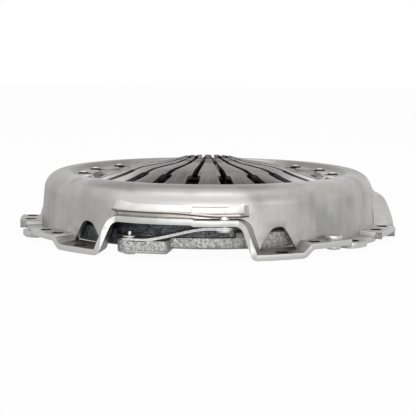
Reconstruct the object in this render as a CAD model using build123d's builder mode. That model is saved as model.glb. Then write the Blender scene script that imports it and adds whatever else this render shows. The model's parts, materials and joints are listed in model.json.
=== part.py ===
"""Clutch cover assembly: pressed cover, diaphragm spring, drive straps and cast pressure plate.

Frame: millimetres, +Z along the clutch axis from the flywheel towards the release bearing.  The origin
is on the axis in the plane of the feet that bolt to the flywheel.  The first strap bridge is centred on
-Y.  Angles called "turn" are measured about the axis from that bridge, positive towards +X.
"""
import os
from math import asin, atan, cos, degrees, radians, sin, tan

from build123d import *

# ---- pattern -------------------------------------------------------------------------------------
bridges = 3                 # strap bridges, each with two feet beside it
fingers = 18                # fingers of the diaphragm, and slots between them
bridge_pitch = 360 / bridges
finger_pitch = 360 / fingers

# ---- cover: drawn cup ----------------------------------------------------------------------------
sheet = 4.0                 # thickness of the cover's steel
wall_base_r = 131.4         # outside radius of the wall at the feet plane
wall_top_r = 126.8          # outside radius where the wall would meet the crown plane
crown_z = 46.8              # top of the dome
shoulder_r = 14.0           # outside radius of the shoulder bend
crown_inner_r = 108.0       # where the crown steps down to the inner ring
ring_z = 42.4               # top of the inner ring
ring_step = 3.6             # radial length of the step from crown to ring
step_bend = 2.5             # bend radius of that step
ring_inner_r = 91.0         # edge of the central opening
land_rise = 1.1             # raised lands of the inner ring between the studs
land_turn = 11.0            # angle that one land covers
land_edge = 0.9             # chamfer around a land

# ---- cover: flange levels and outline --------------------------------------------------------------
pad_z = 5.5                 # underside of the raised pads beside the feet
low_z = 2.7                 # underside of the low flange between two pads
root_bend = 4.0             # bend radius between wall and flange
foot_r = 147.0              # outline of feet and pads
low_r = foot_r - 4.5        # outline of the low flange
flange_bend = 4.5           # bend radius between foot and leg
joggle_bend = 2.2           # inside bend radius of the flange's joggles
foot_end_turn = 37.1        # middle of the joggle from foot to pad
pad_end_turn = 52.0         # middle of the joggle from pad to low flange
joggle_run = 6.6            # length of the joggle from foot to pad
low_joggle_run = 4.0        # length of the joggle from pad to low flange
ear_r = foot_r + 1.5        # outline of the locating ears
ear_turns = (-55.5, 55.5, 180.0)
ear_width = 22.0
ear_corner = 7.0

# ---- cover: bridge and lip -------------------------------------------------------------------------
bridge_z = 22.9             # underside of the bridge
bridge_r = foot_r - 6.0     # its outline
bridge_in_d = 119.0         # distance of its inner edge
bridge_half = 45.0          # half length between the legs, at the top
leg_foot_half = 52.5        # half length between the legs, at the feet
leg_bend = 6.5              # bend radius between bridge and leg
pad_drop = 1.0              # the strap's seat lies lower than the bridge
pad_start = 11.0            # start of that seat
lip_r = 132.4               # outline of the lip over the bridge
lip_z = 30.7                # height of its outer edge
lip_drop = 0.8              # the lip lies lower over the strap's seat
lip_angle = 45.0            # slope of the lip
lip_turn = 20.0             # end of the lip
lip_flare_turn = 14.5       # the lip grows taller from here to its end
lip_flare = 2.2             # by this much

# ---- cover: windows and holes ----------------------------------------------------------------------
bolt_turn = 30.0            # feet bolts, measured from each bridge
bolt_circle_r = foot_r - 7.5
bolt_hole_r = 4.5
window_half = 12.2          # half width of the arched window at the foot
window_top_z = 20.5         # apex of the arch
window_top_r = 5.6          # radius of the arch
window_reach = 136.0        # the window cuts the wall out to this radius
flange_hole_r = 4.3         # balance holes in the pads
flange_hole_circle_r = foot_r - 8.2
flange_hole_turns = (40.6, 48.0)
ear_hole_r = 4.0
ear_hole_circle_r = ear_r - 7.0

# ---- diaphragm spring ------------------------------------------------------------------------------
spring_t = 2.8
spring_slope = 17.74        # cone angle of the outer part, degrees
spring_outer_r = 118.0
tip_r = 19.5                # finger tips
tip_z = 57.0                # top of the tips
tip_bend_r = 31.0
tip_bend_z = 54.0
knee_r = 58.0               # step between the flat inner fingers and the cone
knee_z = 50.2
cone_in_r = 63.0
spring_bend = 4.0
slot_w = 2.8                # slot between two fingers
window_in_r = 61.0          # slot widens to a window here
spring_window_w = 9.6
spring_window_corner = 3.0

# ---- fulcrum ---------------------------------------------------------------------------------------
stud_circle_r = 98.5
stud_shank_r = 3.4
stud_head_r = 4.4
stud_head_t = 2.5
stud_collar_t = 2.4
wire_d = 4.5                # fulcrum wires
wire_clear = 0.25           # wire to stud shank
wire_r = stud_circle_r + stud_shank_r + wire_clear + wire_d / 2

# ---- pressure plate --------------------------------------------------------------------------------
face_z = 4.3                # friction face
plate_in_r = 79.0
plate_out_r = 124.8
plate_top_z = 16.5          # top of the plate's web
plate_edge = 1.2            # chamfer of its rims
ridge_r = 115.0             # ridge that the spring presses on
ridge_top_w = 3.0
ridge_base_w = 7.0
ridge_gap = 0.3             # play under the spring
pocket_z = 11.9             # floor of the pocket under each strap
pocket_turns = (-21.0, 18.0)
rim_clear = 0.2             # from the ridge to the pocket
lug_z = 2.3                 # underside of the lug
lug_top_z = 10.9
lug_d = 136.0               # distance of the lug's outer face from the axis
lug_in_d = 117.0            # its root lies inside the ring
lug_to = -5.0               # its end beside the strap's middle
lug_end = 8.5               # its other end, beyond the rivet
lug_corner = 8.0
lug_draft_bend = 3.0

# ---- straps and rivets -----------------------------------------------------------------------------
strap_leaves = 3
leaf_t = 0.6
leaf_gap = 0.03             # play between two leaves
strap_w = 14.0
strap_d = 129.0             # distance of the strap's centre line from the axis
strap_half = 32.3           # half distance between its rivets
strap_flat = 10.5           # flat stretch from the rivet to the bend
strap_bend = 45.0
rivet_r = 3.4               # shanks of the strap rivets
rivet_hole_play = 0.05
bridge_rivet_head_r = 3.6
bridge_rivet_head_t = 2.0
bridge_rivet_tail_r = 5.7
bridge_rivet_tail_t = 2.4
lug_rivet_head_r = 5.2
lug_rivet_head_t = 1.3
lug_rivet_pip_r = 1.5
lug_rivet_pip_t = 2.6
lug_rivet_tail_r = 4.6
lug_rivet_tail_t = 1.4

# ---- balance rivet ---------------------------------------------------------------------------------
balance_turn = flange_hole_turns[-1]
balance_head_r = 5.9
balance_head_t = 2.8
balance_tail_r = 5.4
balance_tail_t = 2.8
rivet_edge = 0.8            # chamfer on rivet heads

# ---- heights that follow from the stack ------------------------------------------------------------
slope = radians(spring_slope)
ring_under_z = ring_z - sheet
upper_wire_z = ring_under_z - wire_d / 2
lower_wire_z = upper_wire_z - (wire_d + spring_t) / cos(slope)
collar_z = lower_wire_z - wire_d / 2
strap_top_z = bridge_z - pad_drop
leaf_pitch = leaf_t + leaf_gap
stack_t = strap_leaves * leaf_pitch
strap_low_z = lug_top_z
floor_z = -3.0              # cuts below the feet start here
ring_reach = 160.0          # beyond every outline


def spring_top(r):
    """Height of the spring's upper surface at radius r of its outer cone."""
    return upper_wire_z - wire_d / 2 / cos(slope) - (r - wire_r) * tan(slope)


def spring_under(r):
    """Height of the spring's lower surface at radius r of its outer cone."""
    return spring_top(r) - spring_t / cos(slope)


def outward(turn):
    """Unit vector from the axis at this turn."""
    return Vector(sin(radians(turn)), -cos(radians(turn)), 0)


def along(turn):
    """Unit vector square to outward(), in the direction of growing turn."""
    return Vector(cos(radians(turn)), sin(radians(turn)), 0)


def elevation(turn, distance=0.0):
    """Upright plane seen from outside: local x runs along the flange, local y is +Z."""
    return Plane(origin=outward(turn) * distance, x_dir=along(turn), z_dir=outward(turn))


def section(turn):
    """Upright plane through the axis: local x is the radius, local y is +Z."""
    return Plane(origin=(0, 0, 0), x_dir=outward(turn), z_dir=along(turn) * -1)


def station(turn, across, distance):
    """Point in the XY plane at this distance along outward() and across it."""
    return outward(turn) * distance + along(turn) * across


def polar(turn, r):
    """Point in the XY plane at this turn and radius."""
    return outward(turn) * r


# ---- cover -----------------------------------------------------------------------------------------
def wall_r(z):
    """Outside radius of the wall at height z."""
    return wall_base_r + (wall_top_r - wall_base_r) * z / crown_z


def cup_line():
    """Outside line of the drawn cup, from the wall's foot to the edge of the central opening."""
    return FilletPolyline(
        (wall_base_r, 0),
        (wall_top_r, crown_z),
        (crown_inner_r, crown_z),
        (crown_inner_r - ring_step, ring_z),
        (ring_inner_r, ring_z),
        radius=[shoulder_r, step_bend, step_bend],
    )


def drawn_cup():
    """Cup of even thickness: wall, shoulder, crown and inner ring."""
    with BuildPart() as cup:
        with BuildSketch(section(0)):
            with BuildLine():
                cup_line()
                offset(amount=sheet, side=Side.LEFT, closed=True)
            make_face()
        revolve(axis=Axis.Z)
    return cup.part


def lip_outline(drop, rise):
    """Section of the lip: sloped face, square-cut edge, underside and its root in the wall."""
    lean = radians(lip_angle)
    edge_z = lip_z - drop
    cut_r = lip_r - sheet * sin(lean)
    cut_z = edge_z - sheet * cos(lean)
    face_root_z = edge_z + (lip_r - wall_r(edge_z)) * tan(lean) + rise
    under_root_r = wall_r(edge_z) - sheet
    under_root_z = cut_z + (cut_r - under_root_r) * tan(lean)
    return [
        (lip_r, edge_z),
        (cut_r, cut_z),
        (under_root_r, under_root_z),
        (under_root_r, face_root_z),
        (wall_r(face_root_z), face_root_z),
    ]


def lip_stretch(from_turn, to_turn, drop):
    """Stretch of the lip that follows the wall."""
    with BuildPart() as stretch:
        with BuildSketch(section(from_turn)):
            with BuildLine():
                Polyline(*lip_outline(drop, 0), close=True)
            make_face()
        revolve(axis=Axis.Z, revolution_arc=to_turn - from_turn)
    return stretch.part


def lip_end(side, drop):
    """End of the lip, where its face grows taller."""
    with BuildPart() as end:
        for turn, rise in ((lip_flare_turn, 0), (lip_turn, lip_flare)):
            with BuildSketch(section(side * turn)):
                with BuildLine():
                    Polyline(*lip_outline(drop, rise), close=True)
                make_face()
        loft(ruled=True)
    return end.part


def lip():
    """Lip over one bridge; its part over the strap's seat lies lower."""
    step_turn = degrees(atan(pad_start / bridge_r))
    with BuildPart() as whole:
        add(lip_stretch(-lip_flare_turn, step_turn, 0))
        add(lip_stretch(step_turn, lip_flare_turn, lip_drop))
        add(lip_end(-1, 0))
        add(lip_end(1, lip_drop))
    return whole.part


def lip_space():
    """Space between the bridge and the lip's underside."""
    step_turn = degrees(atan(pad_start / bridge_r))
    end_turn = degrees(atan(bridge_half / bridge_r))
    with BuildPart() as space:
        for from_turn, to_turn, drop in ((-end_turn, step_turn, 0), (step_turn, end_turn, lip_drop)):
            edge, cut, root = lip_outline(drop, 0)[:3]
            with BuildSketch(section(from_turn)):
                with BuildLine():
                    Polyline((ring_inner_r, strap_top_z), (ring_reach, strap_top_z), (ring_reach, edge[1]), edge, cut,
                             root, (ring_inner_r, root[1]), close=True)
                make_face()
            revolve(axis=Axis.Z, revolution_arc=to_turn - from_turn)
    return space.part


def underside_path(kind):
    """Corner points of the flange's underside in (along, height), and their bend radii."""
    if kind == "bridge":
        seat_run = 2 * pad_drop
        points = [
            (-foot_r, 0),
            (-leg_foot_half, 0),
            (-bridge_half, bridge_z),
            (pad_start, bridge_z),
            (pad_start + seat_run, strap_top_z),
            (bridge_half, strap_top_z),
            (leg_foot_half, 0),
            (foot_r, 0),
        ]
        return points, [flange_bend, leg_bend, 1.0, 1.0, leg_bend, flange_bend]
    if kind == "joggle":
        points = [(-foot_r, 0), (-joggle_run / 2, 0), (joggle_run / 2, pad_z), (foot_r, pad_z)]
        return points, [joggle_bend + sheet, joggle_bend]
    points = [(-foot_r, pad_z), (-low_joggle_run / 2, pad_z), (low_joggle_run / 2, low_z), (foot_r, low_z)]
    return points, [joggle_bend, joggle_bend + sheet]


def sector(from_turn, to_turn, in_r, out_r, low=floor_z):
    """Upright block between two turns and two radii."""
    with BuildPart() as block:
        with BuildSketch(Plane.XY.offset(low)):
            with BuildLine():
                a = polar(from_turn, in_r)
                b = polar(from_turn, out_r)
                c = polar(to_turn, out_r)
                d = polar(to_turn, in_r)
                middle = (from_turn + to_turn) / 2
                Line(a, b)
                ThreePointArc(b, polar(middle, out_r), c)
                Line(c, d)
                ThreePointArc(d, polar(middle, in_r), a)
            make_face()
        extrude(amount=crown_z)
    return block.part


def flange_strip(kind, turn, block):
    """Stretch of bent flange, as wide as the block in plan."""
    points, bends = underside_path(kind)
    with BuildPart() as strip:
        with BuildSketch(elevation(turn)):
            with BuildLine():
                FilletPolyline(*points, radius=bends)
                offset(amount=sheet, side=Side.LEFT, closed=True)
            make_face()
        extrude(amount=ring_reach)
        add(block, mode=Mode.INTERSECT)
    return strip.part


def space_below(kind, turn, block):
    """Everything under such a stretch of flange."""
    points, bends = underside_path(kind)
    with BuildPart() as space:
        with BuildSketch(elevation(turn)):
            with BuildLine():
                FilletPolyline(*points, radius=bends)
                Polyline(points[-1], (points[-1][0], 2 * floor_z), (points[0][0], 2 * floor_z), points[0])
            make_face()
        extrude(amount=ring_reach)
        add(block, mode=Mode.INTERSECT)
    return space.part


def bridge_block():
    """Plan of the bridge and of the inner halves of its two feet."""
    foot_in_r = wall_r(0) - sheet
    top_turn = degrees(atan(bridge_half / bridge_r))
    leg_turn = degrees(atan(leg_foot_half / bridge_r))
    with BuildPart() as block:
        add(sector(-bolt_turn, bolt_turn, foot_in_r, foot_r))
        with BuildSketch(Plane.XY.offset(floor_z)):
            with Locations(station(0, 0, (bridge_in_d + bridge_r) / 2)):
                Rectangle(2 * bridge_half, bridge_r - bridge_in_d)
        extrude(amount=crown_z)
        with BuildSketch(Plane.XY.offset(floor_z)):
            with BuildLine():
                ThreePointArc(polar(-top_turn, bridge_r), polar(0, bridge_r), polar(top_turn, bridge_r))
                Polyline(polar(top_turn, bridge_r), polar(leg_turn, foot_r), polar(leg_turn, ring_reach),
                         polar(0, 1.2 * ring_reach), polar(-leg_turn, ring_reach), polar(-leg_turn, foot_r),
                         polar(-top_turn, bridge_r))
            make_face()
        extrude(amount=crown_z, mode=Mode.SUBTRACT)
    return block.part


def flange_sector():
    """One bridge with its feet, pads and half of the low flange each side, and the space below it."""
    foot_in_r = wall_r(0) - sheet
    half = bridge_pitch / 2
    middle = (foot_end_turn + pad_end_turn) / 2
    with BuildPart() as flange:
        add(flange_strip("bridge", 0, bridge_block()))
        for side in (1, -1):
            joggle = flange_strip("joggle", foot_end_turn, sector(bolt_turn, middle, foot_in_r, foot_r))
            low = flange_strip("low", pad_end_turn, flange_plan(middle, half, foot_in_r))
            add(joggle if side == 1 else mirror(joggle, about=Plane.YZ, mode=Mode.PRIVATE))
            add(low if side == 1 else mirror(low, about=Plane.YZ, mode=Mode.PRIVATE))
    with BuildPart() as space:
        add(space_below("bridge", 0, sector(-bolt_turn, bolt_turn, stud_circle_r, ring_reach)))
        for side in (1, -1):
            joggle = space_below("joggle", foot_end_turn, sector(bolt_turn, middle, stud_circle_r, ring_reach))
            low = space_below("low", pad_end_turn, sector(middle, half, stud_circle_r, ring_reach))
            add(joggle if side == 1 else mirror(joggle, about=Plane.YZ, mode=Mode.PRIVATE))
            add(low if side == 1 else mirror(low, about=Plane.YZ, mode=Mode.PRIVATE))
    return flange.part, space.part


def flange_plan(from_turn, to_turn, in_r):
    """Plan of pad and low flange: the pad is wider than the low flange beside it."""
    with BuildPart() as block:
        add(sector(from_turn, to_turn, in_r, low_r))
        add(sector(from_turn, pad_end_turn, in_r, foot_r))
    return block.part


def window(turn):
    """Arched window through the wall above a foot, which gives room to the head of its bolt."""
    arc_z = window_top_z - window_top_r
    lean = atan((window_half - window_top_r) / (arc_z - sheet))
    with BuildPart() as arch:
        with BuildSketch(elevation(turn, stud_circle_r)):
            with BuildLine():
                left = (-window_top_r * cos(lean), arc_z + window_top_r * sin(lean))
                right = (window_top_r * cos(lean), arc_z + window_top_r * sin(lean))
                ThreePointArc(left, (0, window_top_z), right)
                Line(right, (window_half, sheet))
                Line((window_half, sheet), (-window_half, sheet))
                Line((-window_half, sheet), left)
            make_face()
        extrude(amount=window_reach - stud_circle_r)
    return arch.part


def ear():
    """Rounded ear on the low flange, square to the axis."""
    with BuildPart() as tab:
        with BuildSketch(elevation(0, wall_r(0) - sheet)):
            with Locations((0, low_z + sheet / 2)):
                Rectangle(ear_width, sheet)
        extrude(amount=ear_r - wall_r(0) + sheet)
        fillet(tab.edges().filter_by(Axis.Z).group_by(Axis.Y)[0], radius=ear_corner)
    return tab.part


def flange_holes():
    """Bores in feet, pads and ears."""
    turns = []
    for bridge in range(bridges):
        for side in (-1, 1):
            turns += [(bridge * bridge_pitch + side * turn) for turn in flange_hole_turns]
    with BuildPart() as bores:
        with BuildSketch(Plane.XY.offset(floor_z)):
            with Locations([polar(side * bolt_turn + bridge * bridge_pitch, bolt_circle_r)
                            for bridge in range(bridges) for side in (-1, 1)]):
                Circle(bolt_hole_r)
            with Locations([polar(turn, flange_hole_circle_r) for turn in turns]):
                Circle(flange_hole_r)
            with Locations([polar(turn, ear_hole_circle_r) for turn in ear_turns]):
                Circle(ear_hole_r)
        extrude(amount=pad_z + sheet - 2 * floor_z)
    return bores.part


def ring_land():
    """Raised land of the inner ring, between two studs."""
    half = land_turn / 2
    outer_r = crown_inner_r - ring_step / 2
    with BuildPart() as land:
        with BuildSketch(Plane.XY.offset(ring_z - sheet / 2)):
            with BuildLine():
                a = polar(-half, ring_inner_r)
                b = polar(-half, outer_r)
                c = polar(half, outer_r)
                d = polar(half, ring_inner_r)
                Line(a, b)
                ThreePointArc(b, polar(0, outer_r), c)
                Line(c, d)
                ThreePointArc(d, polar(0, ring_inner_r), a)
            make_face()
        extrude(amount=sheet / 2 + land_rise)
        chamfer(land.faces().sort_by(Axis.Z)[-1].edges(), length=land_edge)
    return land.part


def build_cover():
    """Pressed cover, from the drawn cup to its holes."""
    cup = drawn_cup()
    flare = lip()
    hollow = lip_space()
    flange, below = flange_sector()
    tab = ear()
    arch = window(bolt_turn)
    bores = flange_holes()
    land = ring_land()
    with BuildPart() as cover:
        add(cup)
        with PolarLocations(0, bridges):
            add(hollow, mode=Mode.SUBTRACT)
            add(below, mode=Mode.SUBTRACT)
        with PolarLocations(0, bridges):
            add(flare)
            add(flange)
        for turn in ear_turns:
            add(tab, rotation=(0, 0, turn))
        with PolarLocations(0, 2 * bridges):
            add(arch, mode=Mode.SUBTRACT)
        add(bores, mode=Mode.SUBTRACT)
        with PolarLocations(0, fingers, start_angle=finger_pitch / 2):
            add(land)
        with BuildSketch(Plane.XY.offset(ring_under_z - sheet)):
            with Locations([polar(i * finger_pitch, stud_circle_r) for i in range(fingers)]):
                Circle(stud_shank_r)
        extrude(amount=3 * sheet, mode=Mode.SUBTRACT)
        with BuildSketch(Plane.XY.offset(strap_top_z - sheet)):
            with Locations([station(i * bridge_pitch, strap_half, strap_d) for i in range(bridges)]):
                Circle(rivet_r)
        extrude(amount=2 * sheet, mode=Mode.SUBTRACT)
    return cover.part


# ---- diaphragm spring ------------------------------------------------------------------------------
def build_spring():
    """Dished spring with radial slots; each slot widens to a window that a stud passes through."""
    window_out_r = stud_circle_r + stud_shank_r + wire_clear
    with BuildPart() as spring:
        with BuildSketch(section(0)):
            with BuildLine():
                FilletPolyline(
                    (spring_outer_r, spring_top(spring_outer_r)),
                    (cone_in_r, spring_top(cone_in_r)),
                    (knee_r, knee_z),
                    (tip_bend_r, tip_bend_z),
                    (tip_r, tip_z),
                    radius=[spring_bend, spring_bend, 2 * spring_bend],
                )
                offset(amount=spring_t, side=Side.LEFT, closed=True)
            make_face()
        revolve(axis=Axis.Z)
        with BuildSketch(Plane.XY):
            with PolarLocations((window_in_r + tip_r) / 2, fingers, start_angle=-90):
                Rectangle(window_in_r - tip_r + spring_window_w, slot_w)
            with PolarLocations((window_in_r + window_out_r) / 2, fingers, start_angle=-90):
                RectangleRounded(window_out_r - window_in_r, spring_window_w, spring_window_corner)
        extrude(amount=2 * crown_z, mode=Mode.SUBTRACT)
    return spring.part


# ---- fulcrum ---------------------------------------------------------------------------------------
def build_wire(height):
    """Fulcrum wire, round in section."""
    with BuildPart() as wire:
        with BuildSketch(section(0)):
            with Locations((wire_r, height)):
                Circle(wire_d / 2)
        revolve(axis=Axis.Z)
    return wire.part


def build_studs():
    """Shouldered studs: a domed head on the ring, a shank through ring and spring, a collar under the wire."""
    low_z_here = collar_z - stud_collar_t
    collar_r = wire_r - stud_circle_r + wire_d / 4
    head_edge_z = ring_z + stud_head_t / 2
    head_top_z = ring_z + stud_head_t
    dome_r = (stud_head_r ** 2 + (stud_head_t / 2) ** 2) / stud_head_t
    dome_half = asin(stud_head_r / dome_r) / 2
    with BuildPart() as stud:
        with BuildSketch(elevation(0, stud_circle_r)):
            with BuildLine():
                Polyline((0, low_z_here), (collar_r, low_z_here), (collar_r, collar_z), (stud_shank_r, collar_z),
                         (stud_shank_r, ring_z), (stud_head_r, ring_z), (stud_head_r, head_edge_z))
                ThreePointArc((stud_head_r, head_edge_z),
                              (dome_r * sin(dome_half), head_top_z - dome_r * (1 - cos(dome_half))),
                              (0, head_top_z))
                Line((0, head_top_z), (0, low_z_here))
            make_face()
        revolve(axis=Axis(polar(0, stud_circle_r), (0, 0, 1)))
    with BuildPart() as studs:
        with PolarLocations(0, fingers):
            add(stud.part)
    return studs.part


# ---- pressure plate --------------------------------------------------------------------------------
def lug():
    """Cast lug under the strap's lower end."""
    tip = strap_half + lug_end
    with BuildPart() as block:
        with BuildSketch(Plane.XY.offset(lug_z)):
            with Locations(station(0, (lug_to - tip) / 2, (lug_in_d + lug_d) / 2)):
                Rectangle(tip + lug_to, lug_d - lug_in_d)
        extrude(amount=lug_top_z - lug_z)
        outer = block.edges().filter_by(Axis.Z).group_by(Axis.Y)[0].sort_by(Axis.X)
        fillet(outer[0], radius=lug_corner)
        outer = block.edges().filter_by(Axis.Z).group_by(Axis.Y)[0].sort_by(Axis.X)
        fillet(outer[-1], radius=lug_draft_bend)
        chamfer(block.faces().sort_by(Axis.Z)[0].edges(), length=plate_edge / 2)
    return block.part


def build_plate():
    """Cast ring with a ground friction face, a ridge under the spring and three strap lugs."""
    ridge_z = spring_under(ridge_r + ridge_top_w / 2) - ridge_gap
    ridge_out_r = ridge_r + ridge_base_w / 2
    rim_in_r = ridge_out_r + rim_clear
    lug_tip_turn = -degrees(atan((strap_half + lug_end) / strap_d))
    lug_end_turn = -degrees(atan(-lug_to / strap_d))
    pocket = sector(pocket_turns[0], pocket_turns[1], rim_in_r, ring_reach, pocket_z)
    lug_seat = sector(lug_tip_turn, lug_end_turn, rim_in_r, ring_reach, lug_top_z)
    block = lug()
    with BuildPart() as plate:
        with BuildSketch(section(0)):
            with BuildLine():
                Polyline((plate_in_r, face_z), (plate_out_r, face_z), (plate_out_r, plate_top_z),
                         (ridge_out_r, plate_top_z), (ridge_r + ridge_top_w / 2, ridge_z),
                         (ridge_r - ridge_top_w / 2, ridge_z), (ridge_r - ridge_base_w / 2, plate_top_z),
                         (plate_in_r, plate_top_z), close=True)
            rim = make_face()
            chamfer(rim.vertices().group_by(Axis.X)[-1] + rim.vertices().group_by(Axis.X)[0], length=plate_edge)
        revolve(axis=Axis.Z)
        with PolarLocations(0, bridges):
            add(pocket, mode=Mode.SUBTRACT)
        with PolarLocations(0, bridges):
            add(block)
        with PolarLocations(0, bridges):
            add(lug_seat, mode=Mode.SUBTRACT)
        with BuildSketch(Plane.XY):
            with Locations([station(i * bridge_pitch, -strap_half, strap_d) for i in range(bridges)]):
                Circle(rivet_r + rivet_hole_play)
        extrude(amount=crown_z, mode=Mode.SUBTRACT)
    return plate.part


# ---- straps ----------------------------------------------------------------------------------------
def build_leaf(turn, layer):
    """One spring-steel leaf: low end on the lug, high end under the bridge, an S between them."""
    low_end_z = strap_low_z + leaf_gap + layer * leaf_pitch
    high_end_z = strap_top_z - (strap_leaves - layer) * leaf_pitch
    end = strap_half + strap_w
    bend = strap_half - strap_flat
    with BuildPart() as leaf:
        with BuildSketch(elevation(0, strap_d - strap_w)):
            with BuildLine():
                FilletPolyline((-end, low_end_z), (-bend, low_end_z), (bend, high_end_z), (end, high_end_z),
                               radius=[strap_bend, strap_bend])
                offset(amount=leaf_t, side=Side.LEFT, closed=True)
            make_face()
        extrude(amount=2 * strap_w)
        with BuildSketch(Plane.XY):
            with Locations(station(0, 0, strap_d)):
                SlotCenterToCenter(2 * strap_half, strap_w)
            with Locations(station(0, -strap_half, strap_d), station(0, strap_half, strap_d)):
                Circle(rivet_r + rivet_hole_play, mode=Mode.SUBTRACT)
        extrude(amount=crown_z, mode=Mode.INTERSECT)
    with BuildPart() as placed:
        add(leaf.part, rotation=(0, 0, turn))
    return placed.part


def revolved_rivet(centre, outline):
    """Rivet from its half outline in (radius, height)."""
    with BuildPart() as rivet:
        with BuildSketch(Plane(origin=centre, x_dir=(1, 0, 0), z_dir=(0, -1, 0))):
            with BuildLine():
                Polyline(*outline, close=True)
            make_face()
        revolve(axis=Axis(centre, (0, 0, 1)))
    return rivet.part


def build_bridge_rivet(turn):
    """Rivet that holds the strap's upper end under the bridge."""
    seat_top_z = strap_top_z + sheet
    stack_z = strap_top_z - stack_t
    outline = [
        (0, stack_z - bridge_rivet_tail_t),
        (bridge_rivet_tail_r - rivet_edge, stack_z - bridge_rivet_tail_t),
        (bridge_rivet_tail_r, stack_z - bridge_rivet_tail_t + rivet_edge),
        (bridge_rivet_tail_r, stack_z),
        (rivet_r, stack_z),
        (rivet_r, seat_top_z),
        (bridge_rivet_head_r, seat_top_z),
        (bridge_rivet_head_r, seat_top_z + rivet_edge),
        (bridge_rivet_head_r / 2, seat_top_z + bridge_rivet_head_t),
        (0, seat_top_z + bridge_rivet_head_t),
    ]
    return revolved_rivet(station(turn, strap_half, strap_d), outline)


def build_lug_rivet(turn):
    """Rivet through lug and strap, with a wide flat head and a pip on it."""
    stack_z = strap_low_z + leaf_gap + stack_t
    head_z = stack_z + lug_rivet_head_t
    outline = [
        (0, lug_z - lug_rivet_tail_t),
        (lug_rivet_tail_r - rivet_edge, lug_z - lug_rivet_tail_t),
        (lug_rivet_tail_r, lug_z - lug_rivet_tail_t + rivet_edge),
        (lug_rivet_tail_r, lug_z),
        (rivet_r, lug_z),
        (rivet_r, stack_z),
        (lug_rivet_head_r, stack_z),
        (lug_rivet_head_r, head_z - rivet_edge / 2),
        (lug_rivet_pip_r, head_z),
        (lug_rivet_pip_r, head_z + lug_rivet_pip_t - rivet_edge / 2),
        (lug_rivet_pip_r / 2, head_z + lug_rivet_pip_t),
        (0, head_z + lug_rivet_pip_t),
    ]
    return revolved_rivet(station(turn, -strap_half, strap_d), outline)


def build_balance_rivet():
    """Plug in one of the balance holes."""
    top_z = pad_z + sheet
    shank_r = flange_hole_r - rivet_hole_play
    outline = [
        (0, pad_z - balance_tail_t),
        (balance_tail_r - rivet_edge, pad_z - balance_tail_t),
        (balance_tail_r, pad_z - balance_tail_t + rivet_edge),
        (balance_tail_r, pad_z),
        (shank_r, pad_z),
        (shank_r, top_z),
        (balance_head_r, top_z),
        (balance_head_r, top_z + balance_head_t - rivet_edge),
        (balance_head_r - rivet_edge, top_z + balance_head_t),
        (0, top_z + balance_head_t),
    ]
    return revolved_rivet(polar(balance_turn, flange_hole_circle_r), outline)


# ---- all pieces ------------------------------------------------------------------------------------
def write_piece(piece, name):
    """Label one piece and write its file."""
    piece.label = name
    export_step(piece, f"parts/{name}.step")


def main():
    """Build every piece and write it."""
    os.makedirs("parts", exist_ok=True)
    write_piece(build_cover(), "cover")
    write_piece(build_spring(), "diaphragm_spring")
    write_piece(build_wire(upper_wire_z), "fulcrum_wire_upper")
    write_piece(build_wire(lower_wire_z), "fulcrum_wire_lower")
    write_piece(build_studs(), "fulcrum_studs")
    write_piece(build_plate(), "pressure_plate")
    write_piece(build_balance_rivet(), "balance_rivet")
    for i in range(bridges):
        turn = i * bridge_pitch
        for layer in range(strap_leaves):
            write_piece(build_leaf(turn, layer), f"strap_{i + 1}_leaf_{layer + 1}")
        write_piece(build_bridge_rivet(turn), f"strap_cover_rivet_{i + 1}")
        write_piece(build_lug_rivet(turn), f"strap_plate_rivet_{i + 1}")


main()
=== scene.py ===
"""Looks of the clutch cover assembly: camera, light, finishes and the pieces that bend."""
import json
from math import cos, pi, radians, sin, tan

import bmesh
import bpy
import numpy as np
from mathutils import Euler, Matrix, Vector


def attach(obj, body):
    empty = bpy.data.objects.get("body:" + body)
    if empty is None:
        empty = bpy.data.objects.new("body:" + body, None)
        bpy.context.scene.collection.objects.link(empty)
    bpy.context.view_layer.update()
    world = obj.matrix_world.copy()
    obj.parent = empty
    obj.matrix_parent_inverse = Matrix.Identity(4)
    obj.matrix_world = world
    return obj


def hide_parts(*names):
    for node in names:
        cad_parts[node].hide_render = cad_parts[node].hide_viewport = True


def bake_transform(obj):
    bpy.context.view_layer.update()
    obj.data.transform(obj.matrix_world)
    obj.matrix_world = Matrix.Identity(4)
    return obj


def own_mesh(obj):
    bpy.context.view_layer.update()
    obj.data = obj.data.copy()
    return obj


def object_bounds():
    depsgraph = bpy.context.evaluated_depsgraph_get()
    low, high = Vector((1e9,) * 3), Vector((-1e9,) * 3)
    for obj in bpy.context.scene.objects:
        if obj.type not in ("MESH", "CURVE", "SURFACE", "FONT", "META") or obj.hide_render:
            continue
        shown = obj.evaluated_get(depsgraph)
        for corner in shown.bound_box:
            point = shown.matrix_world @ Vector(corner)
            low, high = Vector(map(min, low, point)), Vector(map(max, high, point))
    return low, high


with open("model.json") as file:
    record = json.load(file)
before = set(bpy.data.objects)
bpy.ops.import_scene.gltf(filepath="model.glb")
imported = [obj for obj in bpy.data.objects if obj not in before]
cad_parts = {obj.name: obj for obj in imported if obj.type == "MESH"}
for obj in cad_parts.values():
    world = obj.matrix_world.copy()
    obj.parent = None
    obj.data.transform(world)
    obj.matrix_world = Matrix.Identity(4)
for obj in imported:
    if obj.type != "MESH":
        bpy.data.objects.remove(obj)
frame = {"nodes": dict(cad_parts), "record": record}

cad_box = [[float(v) for v in corner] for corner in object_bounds()]
MM = 0.001

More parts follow.
